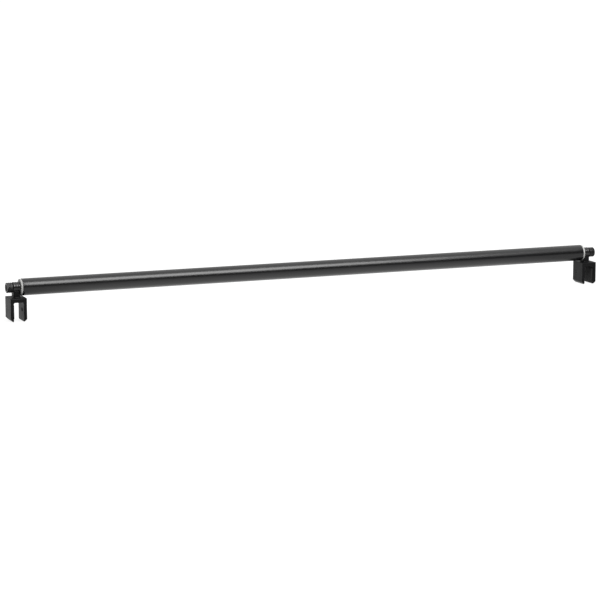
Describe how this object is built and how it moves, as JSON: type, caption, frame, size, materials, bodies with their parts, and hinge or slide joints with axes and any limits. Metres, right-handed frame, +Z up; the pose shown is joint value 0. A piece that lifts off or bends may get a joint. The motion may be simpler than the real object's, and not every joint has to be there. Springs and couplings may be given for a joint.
{
  "type": "bed cargo bar",
  "caption": "Straight round cargo bar with a screw-adjusted, downward-opening rail fork and a clamp screw at each end.",
  "frame": {"origin": "on the floor under the middle of the bar, between the feet of the two forks", "axes": "+X along the bar from the left end to the right end, +Y to the back, +Z up"},
  "size_m": [1.4736, 0.0484, 0.094],
  "materials": {
    "tube_coat": "satin black powder coat",
    "fork_coat": "satin black coat on a fine-grained casting",
    "black_plastic": "moulded black nylon, semi-matte",
    "zinc_steel": "bright zinc plate, satin",
    "plug_alloy": "turned, satin",
    "nylon": "natural light grey, matte",
    "black_steel": "oiled black oxide",
    "pad_rubber": "matte, finely textured"
  },
  "bodies": {
    "bar": {"main_tube": "tube_coat", "left_end_plug": "plug_alloy", "left_plug_pin": "zinc_steel", "right_end_plug": "plug_alloy", "right_plug_pin": "zinc_steel"},
    "left_carriage": {"left_thrust_ring": "nylon", "left_eye_bushing": "nylon", "left_outer_washer": "black_steel"},
    "left_adjuster": {"left_adjuster_stud": "zinc_steel", "left_adjuster_knob": "black_plastic", "left_knob_cap": "black_plastic"},
    "left_jaw": {"left_fork": "fork_coat", "left_jaw_pad": "pad_rubber"},
    "left_clamp_nose": {"left_clamp_tip": "black_plastic"},
    "left_clamp_bolt": {"left_clamp_screw": "black_steel"},
    "right_carriage": {"right_thrust_ring": "nylon", "right_eye_bushing": "nylon", "right_outer_washer": "black_steel"},
    "right_adjuster": {"right_adjuster_stud": "zinc_steel", "right_adjuster_knob": "black_plastic", "right_knob_cap": "black_plastic"},
    "right_jaw": {"right_fork": "fork_coat", "right_jaw_pad": "pad_rubber"},
    "right_clamp_nose": {"right_clamp_tip": "black_plastic"},
    "right_clamp_bolt": {"right_clamp_screw": "black_steel"}
  },
  "joints": [
    {"name": "left_extend", "type": "slide", "parent": "bar", "child": "left_carriage", "axis": [-1, 0, 0], "range_m": [0, 0.021]},
    {"name": "left_knob_turn", "type": "hinge", "parent": "left_carriage", "child": "left_adjuster", "pos_m": [-0.7015, 0, 0.0749], "axis": [-1, 0, 0], "range_deg": [0, 4320]},
    {"name": "left_fork_tilt", "type": "hinge", "parent": "left_carriage", "child": "left_jaw", "pos_m": [-0.7015, 0, 0.0749], "axis": [-1, 0, 0], "continuous": true},
    {"name": "left_clamp_travel", "type": "slide", "parent": "left_jaw", "child": "left_clamp_nose", "axis": [-1, 0, 0], "range_m": [0, 0.00375]},
    {"name": "left_clamp_turn", "type": "hinge", "parent": "left_clamp_nose", "child": "left_clamp_bolt", "pos_m": [-0.70085, -0.007, 0.0256], "axis": [-1, 0, 0], "range_deg": [0, 1080]},
    {"name": "right_extend", "type": "slide", "parent": "bar", "child": "right_carriage", "axis": [1, 0, 0], "range_m": [0, 0.021]},
    {"name": "right_knob_turn", "type": "hinge", "parent": "right_carriage", "child": "right_adjuster", "pos_m": [0.7015, 0, 0.0749], "axis": [1, 0, 0], "range_deg": [0, 4320]},
    {"name": "right_fork_tilt", "type": "hinge", "parent": "right_carriage", "child": "right_jaw", "pos_m": [0.7015, 0, 0.0749], "axis": [1, 0, 0], "continuous": true},
    {"name": "right_clamp_travel", "type": "slide", "parent": "right_jaw", "child": "right_clamp_nose", "axis": [1, 0, 0], "range_m": [0, 0.00375]},
    {"name": "right_clamp_turn", "type": "hinge", "parent": "right_clamp_nose", "child": "right_clamp_bolt", "pos_m": [0.70085, 0.007, 0.0256], "axis": [1, 0, 0], "range_deg": [0, 1080]}
  ],
  "couplings": [
    {"joint": "left_knob_turn", "follows": "left_extend", "rad_per_m": 3590.4},
    {"joint": "left_clamp_turn", "follows": "left_clamp_travel", "rad_per_m": 5026.5},
    {"joint": "right_knob_turn", "follows": "right_extend", "rad_per_m": 3590.4},
    {"joint": "right_clamp_turn", "follows": "right_clamp_travel", "rad_per_m": 5026.5}
  ]
}
